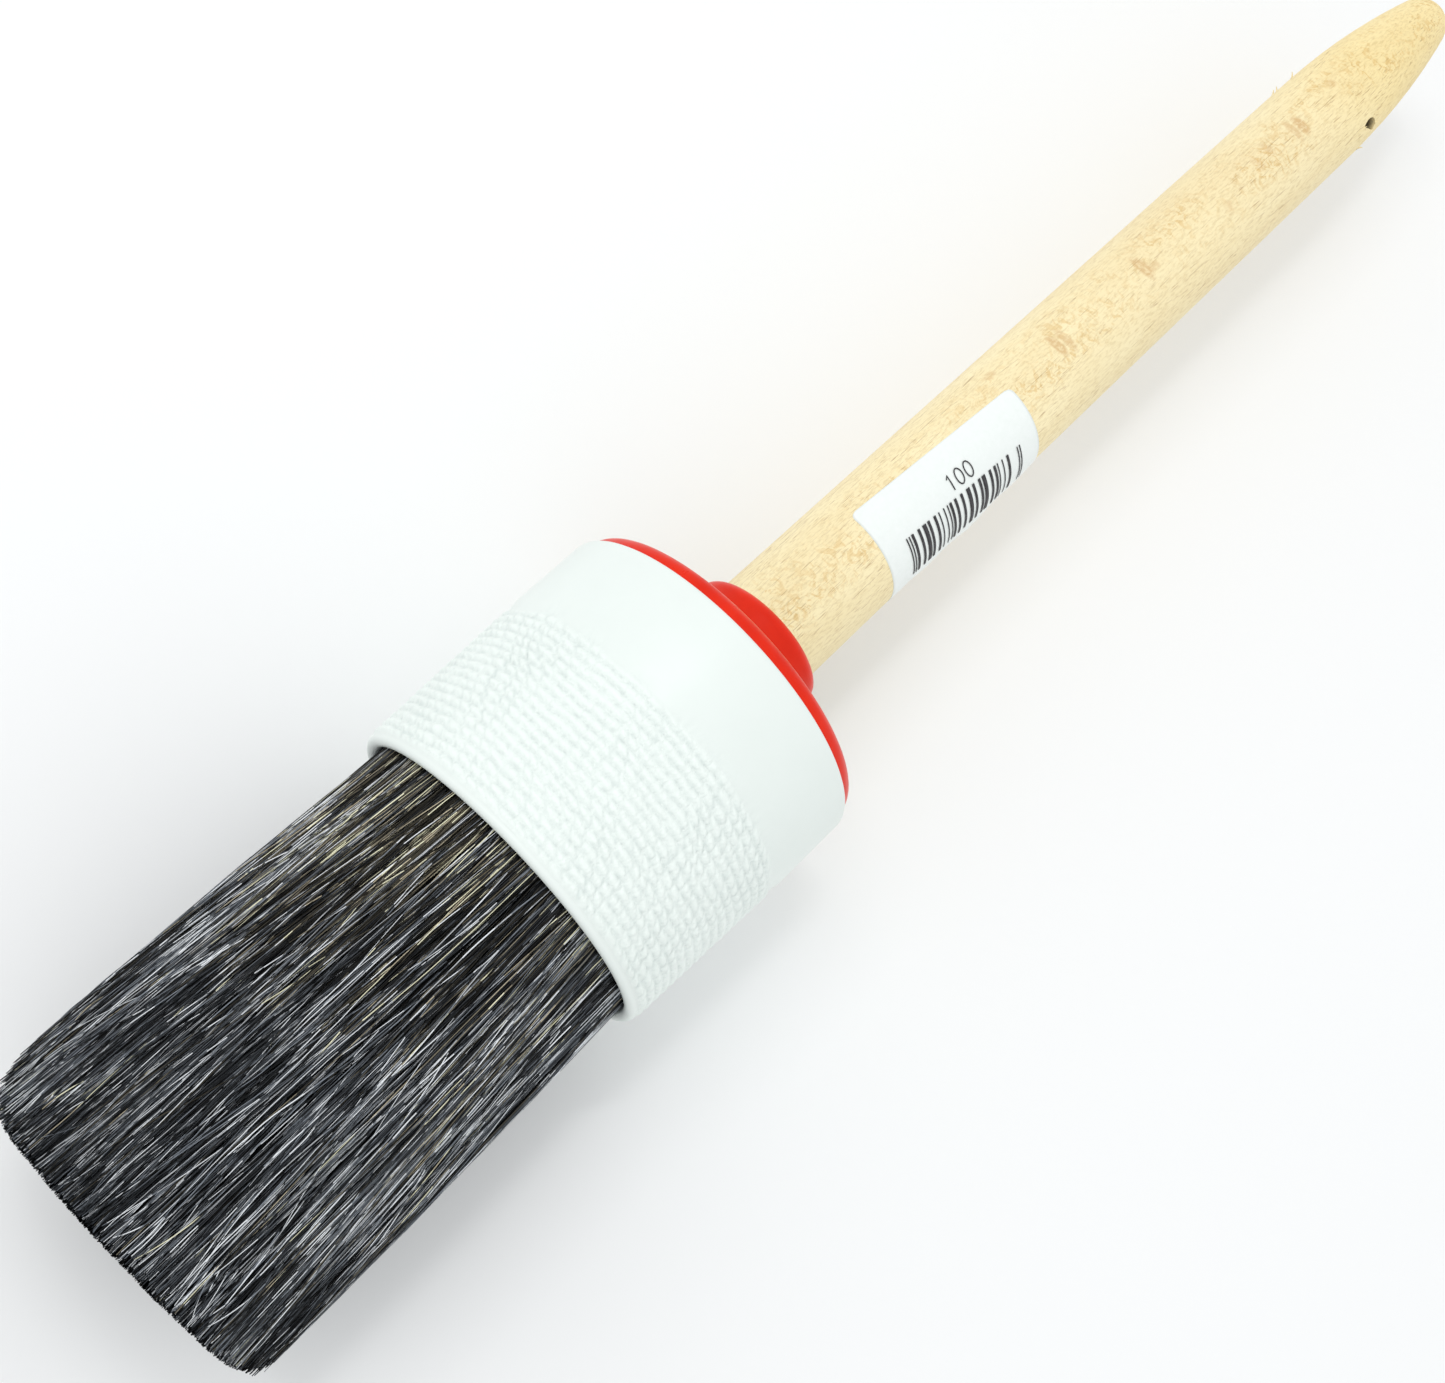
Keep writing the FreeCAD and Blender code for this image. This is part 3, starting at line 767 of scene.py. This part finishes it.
RELIEF_START = 1.3 * MM
RELIEF_LENGTH = 28.5 * MM
CORDS = 17
CORD_ROWS = 7
CORD_RISE = 0.34 * MM
GRAIN_PITCH = 2.55 * MM
GRAIN_SLOPE = 0.50
CUT_DEPTH = 0.20 * MM
CUT_WIDTH = 0.34 * MM
LIP_R = 28.9 * MM
RELIEF_END_R = 29.7 * MM
BORE_R = 26.8 * MM
LIP_ROUND = 1.0 * MM
SHOULDER_ROUND = 1.1 * MM
BAND_RISE = 2.2 * MM                   # from the winding's end to the smooth band
PILLOW = 0.11 * MM                     # swell between two cuts
ROUGH = 0.012 * MM
CUT_SCATTER = 0.13                     # of a grain, from one cord to the next
# The twist shows less on top, where the mould was worn.
WORN, WORN_TURN, WORN_REACH = 0.45, -0.22, 0.42


def arc_points(centre_x, centre_r, size, first, last, count):
    """(x, r) along a rounding; angles in degrees from +X towards the outside."""
    angle = np.radians(np.linspace(first, last, count))
    return np.stack([centre_x + size * np.cos(angle), centre_r + size * np.sin(angle)], -1)


def winding_height(x, turn):
    """Height of the moulded winding, how deep in its hollows each point is, and its reach."""
    part = (x - LIP_X - RELIEF_START) / RELIEF_LENGTH
    waver = ripple(turn, x, 10, 12, 250) * 0.09 + ripple(turn, x, 14, 60, 900) * 0.045
    cord = part * CORDS + waver
    within = cord - np.floor(cord)
    number = np.clip(np.floor(cord), 0, CORDS - 1).astype(int)
    ridge = np.sin(math.pi * within) ** 1.1
    around_count = round(2 * math.pi * LIP_R / GRAIN_PITCH)
    pitch = RELIEF_LENGTH / CORDS
    slant = GRAIN_SLOPE * pitch / GRAIN_PITCH
    offset = np.cumsum(rng.normal(slant, CUT_SCATTER, CORDS))[number]
    grain = (turn / (2 * math.pi) * around_count + offset
             + slant * (within - 0.5) * 1.9
             + ripple(turn, x, 12, 26, 650) * 0.22)
    along = grain - np.floor(grain)
    cut_gap = np.minimum(along, 1 - along) * GRAIN_PITCH
    cut = np.exp(-(cut_gap / CUT_WIDTH) ** 2)
    worn = WORN * np.exp(-((turn - WORN_TURN) / WORN_REACH) ** 2)
    depth = CUT_DEPTH * (1 - worn) * np.clip(0.95 + 0.40 * ripple(turn, x, 12, 14, 300), 0.1, 1.5)
    pillow = PILLOW * np.sin(math.pi * along)
    rough = ROUGH * ripple(turn, x, 30, 200, 4500)
    height = CORD_RISE * ridge + pillow * ridge - depth * cut * ridge + rough
    # hollow sets how much painted shade a point gets.
    hollow = np.clip((1 - ridge) ** 1.2 + 0.9 * cut * ridge * depth / CUT_DEPTH, 0, 1)
    last = CORDS + 0.1 + 0.25 * ripple(turn, x * 0, 10, 26, 0)
    fade = np.clip(part * CORDS / 0.5, 0, 1) * np.clip((last - part * CORDS) / 0.9, 0, 1)
    return height * fade, hollow * fade, fade


def make_collar():
    columns = 720
    turn = full_turn(columns)
    relief_x = LIP_X + RELIEF_START
    part = np.linspace(0, 1, CORDS * CORD_ROWS + 1)
    winding = np.stack([relief_x + RELIEF_LENGTH * part,
                        LIP_R + (RELIEF_END_R - LIP_R) * part], -1)
    band_x = relief_x + RELIEF_LENGTH + BAND_RISE
    lip = np.concatenate([
        [[COLLAR_END_X, BORE_R], [LIP_X + 4 * MM, BORE_R]],
        arc_points(LIP_X + LIP_ROUND, BORE_R + LIP_ROUND, LIP_ROUND, 270, 180, 4),
        arc_points(LIP_X + LIP_ROUND, LIP_R - LIP_ROUND + 0.12 * MM, LIP_ROUND, 170, 90, 4),
    ])
    shoulder_x = COLLAR_END_X - SHOULDER_ROUND
    shoulder = np.concatenate([
        [[band_x, BODY_R], [shoulder_x, BODY_R]],
        arc_points(shoulder_x, BODY_R - SHOULDER_ROUND, SHOULDER_ROUND, 70, 0, 4),
    ])
    profile = np.concatenate([lip, winding, shoulder])
    first = len(lip)
    rows = slice(first, first + len(winding))
    x = np.repeat(profile[:, :1], columns, axis=1)
    radius = np.repeat(profile[:, 1:], columns, axis=1)
    hollow, wound = np.zeros_like(radius), np.zeros_like(radius)
    height, hollow[rows], wound[rows] = winding_height(x[rows], turn)
    radius[rows] += height
    quads = grid_faces(len(profile), columns, wrap_rows=True, wrap_columns=True)
    made = mesh_object("collar_sleeve", around(x, radius, turn).reshape(-1, 3),
                       quads[:, ::-1], [CAD_FINISH["collar"]])
    # hollow carries the painted shade of the hollows; wound marks the winding, painted lighter and
    # creased.
    for name, values in (("hollow", hollow), ("wound", wound)):
        layer = made.data.attributes.new(name, "FLOAT", "POINT")
        layer.data.foreach_set("value", values.ravel().astype(np.float32))
    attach(made, "root")
    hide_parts("collar")


# Price label: paper that follows the shaft and stands off it along the lower edge.

LABEL_W = 37.4 * MM
LABEL_H = 21.2 * MM
LABEL_CORNER = 1.2 * MM
LABEL_TURN = math.radians(41.5)
LABEL_SKEW = math.radians(3.6)
LABEL_X = BOSS_TOP_X + 21.1 * MM + LABEL_W / 2
LABEL_GAP = 0.05 * MM
PAPER = 0.11 * MM
NECK_R = 10.05 * MM
END_R = 9.15 * MM
NOSE_LENGTH = 38.2 * MM
LIFT_FROM = math.radians(66)
CURL = 0.24                            # how much of the way to straight the loose edge springs
CURL_WAVES = (
    # share, length over 2 pi and phase of the waviness along the loose edge
    (0.10, 5.1 * MM, 0.8), (0.08, 1.9 * MM, 0.0),
)
CORNER_LIFT = 0.4 * MM                 # of the corner nearest the nose, upper edge


def shaft_radius(x):
    part = (x - BOSS_TOP_X) / (NOSE_X - NOSE_LENGTH - BOSS_TOP_X)
    return NECK_R + (END_R - NECK_R) * np.clip(part, 0, 1)


def on_label(u, v, above=0.0):
    """A point u along and v down from the label's middle, above the wood-side face."""
    x = LABEL_X + u * math.cos(LABEL_SKEW) - v * math.sin(LABEL_SKEW)
    arc = u * math.sin(LABEL_SKEW) + v * math.cos(LABEL_SKEW)
    base = shaft_radius(x)
    turn = LABEL_TURN + arc / shaft_radius(LABEL_X)
    past = np.clip(turn - LIFT_FROM, 0, None)
    curl = CURL
    for share, length, phase in CURL_WAVES:
        curl = curl + share * np.sin(u / length + phase)
    # The end nearest the cap stays down.
    curl = curl * np.clip((u + LABEL_W / 2) / (9 * MM), 0.05, 1)
    lift = base * past ** 2 / 2 * curl
    corner = np.clip((u - 14 * MM) / (5 * MM), 0, 1) ** 2 * np.clip(-v / LABEL_H, 0, 1) ** 3
    return around(x, base + LABEL_GAP + lift + corner * CORNER_LIFT + above, turn)


def add_thickness(made, thickness):
    solid = made.modifiers.new("thickness", "SOLIDIFY")
    solid.thickness = thickness
    solid.offset = 1.0


def make_label():
    rows, columns = 90, 70
    v = np.linspace(-LABEL_H / 2, LABEL_H / 2, rows)[:, None]
    inset = np.clip(np.abs(v) - (LABEL_H / 2 - LABEL_CORNER), 0, LABEL_CORNER)
    half = LABEL_W / 2 - (LABEL_CORNER - np.sqrt(LABEL_CORNER ** 2 - inset ** 2))
    u = half * np.linspace(-1, 1, columns)[None, :]
    sheet = on_label(u, np.broadcast_to(v, u.shape))
    quads = grid_faces(rows, columns)
    made = mesh_object("label_sheet", sheet.reshape(-1, 3), quads, [label_paper()])
    add_thickness(made, PAPER)
    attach(made, "root")
    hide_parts("price_label")


LABEL_TOP = -LABEL_H / 2
BARS_U = (-13.8 * MM, 14.2 * MM)       # from the label's middle
BARS_V = (8.9 * MM, 16.7 * MM)         # down from the label's top
MODULES = 95
INK_TRIM = 0.08                        # of a module, off each side of a bar
INK_ABOVE = 0.012 * MM
INK = 0.008 * MM
DIGITS_U = -2.2 * MM
DIGITS_V = (4.8 * MM, 7.85 * MM)
DIGIT_W = 1.75 * MM
DIGIT_STEP = 2.15 * MM
PEN = 0.24 * MM


def bar_edges():
    """Starts and ends of the bars, in modules: made-up widths between plain guards."""
    edges = [(0, 1), (2, 3)]
    place = 4
    while place < MODULES - 8:
        wide = int(rng.choice((1, 1, 1, 2, 2, 3)))
        gap = int(rng.choice((1, 2, 2, 3)))
        edges.append((place, place + wide))
        place += wide + gap
    return edges + [(MODULES - 3, MODULES - 2), (MODULES - 1, MODULES)]


def make_bars():
    rows = 26
    module = (BARS_U[1] - BARS_U[0]) / MODULES
    v = np.linspace(LABEL_TOP + BARS_V[0], LABEL_TOP + BARS_V[1], rows)[:, None]
    vertices, quads = [], []
    for start, end in bar_edges():
        u = BARS_U[0] + module * np.array([[start + INK_TRIM, end - INK_TRIM]])
        strip = on_label(np.broadcast_to(u, (rows, 2)), np.broadcast_to(v, (rows, 2)),
                         PAPER + INK_ABOVE)
        quads.append(grid_faces(rows, 2) + 2 * rows * len(quads))
        vertices.append(strip.reshape(-1, 3))
    made = mesh_object("label_bars", np.concatenate(vertices), np.concatenate(quads),
                       [label_ink()])
    add_thickness(made, INK)
    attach(made, "root")


def digit_stroke(digit):
    """A plain digit's centre line in a box one wide and one high, from the top left."""
    if digit == 0:
        angle = np.linspace(0, 2 * math.pi, 33)
        return np.stack([0.5 + 0.42 * np.cos(angle), 0.5 + 0.46 * np.sin(angle)], -1)
    return np.array([[0.30, 0.24], [0.58, 0.04], [0.58, 0.5], [0.58, 0.96]])


def ribbon(line, width):
    """The two edges of a stroke drawn along a line of (u, v) points."""
    step = np.gradient(line, axis=0)
    step /= np.linalg.norm(step, axis=1, keepdims=True)
    side = np.stack([-step[:, 1], step[:, 0]], -1) * width / 2
    return np.stack([line - side, line + side], 1)


def make_digits():
    height = DIGITS_V[1] - DIGITS_V[0]
    vertices, quads, count = [], [], 0
    for place, digit in enumerate((1, 0, 0)):
        line = digit_stroke(digit) * (DIGIT_W, height)
        line = line + (DIGITS_U + place * DIGIT_STEP, LABEL_TOP + DIGITS_V[0])
        edges = ribbon(line, PEN)
        stroke = on_label(edges[..., 0], edges[..., 1], PAPER + INK_ABOVE)
        quads.append(grid_faces(len(line), 2) + count)
        vertices.append(stroke.reshape(-1, 3))
        count += stroke.shape[0] * 2
    made = mesh_object("label_digits", np.concatenate(vertices), np.concatenate(quads),
                       [label_ink()])
    add_thickness(made, INK)
    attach(made, "root")


# Splinters round the hanging hole, where the drill left the wood.

NOSE_ARC = 150.7 * MM
SPLINTER_THICK = 0.16 * MM
SPLINTER_TIP = 0.02 * MM               # half the width left at the tip
SPLINTERS = (
    # along from the hole's axis, turn from its mouth (degrees), length, width, lift in mm,
    # and how far the tip is turned; the first is the torn flap over half the mouth
    (-3.1, -1.0, 5.0, 4.3, 0.06, 13.5),
    (-3.6, -7.0, 2.6, 0.9, 0.14, 0.0),
    (1.8, -12.5, 1.2, 0.6, 0.22, 4.0),
    (2.05, 2.0, 0.9, 0.7, 0.24, 0.0),
    (-1.7, 27.0, 1.2, 0.5, 0.50, 0.0),
    (-7.2, -147.0, 1.3, 0.45, 0.60, 0.0),
    (-5.7, -148.0, 1.0, 0.40, 0.70, 0.0),
    (-0.8, -149.0, 1.3, 0.45, 0.80, 0.0),
)


def nose_radius(x):
    past = np.clip(x - (NOSE_X - NOSE_LENGTH), 0, None)
    return END_R - past ** 2 / (2 * NOSE_ARC)


def make_splinters(material):
    points, across = 9, 7
    part = np.linspace(0, 1, points)[:, None]
    side = np.linspace(-1, 1, across)[None, :]
    vertices, faces = [], []
    for along, turn, length, width, lift, slew in SPLINTERS:
        x = HOLE.x + (along + length * part) * MM
        half = width * MM / 2 * (1 - part) ** 0.8 + SPLINTER_TIP
        ragged = 0.08 * half * np.sin(17 * part + 5 * side)
        centre = HOLE_TURN + np.radians(turn + slew * part)
        angle = centre + (side * half + ragged) / NOSE_R
        rise = nose_radius(x) + (0.03 + lift * part ** 1.5) * MM
        fall = np.minimum(half, 0.35 * MM) * side ** 4 * 0.5
        top = around(x, rise - fall, angle)
        under = around(x, rise - fall - SPLINTER_THICK, angle)
        ring = np.concatenate([top, under[:, ::-1]], 1)
        base = len(vertices) * points * 2 * across
        vertices.append(ring.reshape(-1, 3))
        faces.append(grid_faces(points, 2 * across, wrap_columns=True) + base)
    made = mesh_object("hole_splinters", np.concatenate(vertices), np.concatenate(faces),
                       [material])
    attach(made, "root")


make_camera()
make_studio()

CAD_FINISH = {"handle": beech(), "red_cap": red_plastic(), "collar": white_plastic(),
              "setting_resin": resin(), "price_label": label_paper(), "bristles": core_bristle()}
for node, material in CAD_FINISH.items():
    holder = frame["nodes"][node]
    for slot in holder.material_slots:
        slot.material = material
# The white floor takes no red tint from the cap.
frame["nodes"]["red_cap"].visible_diffuse = False

make_bristles()
make_collar()
make_label()
make_bars()
make_digits()
make_splinters(CAD_FINISH["handle"])
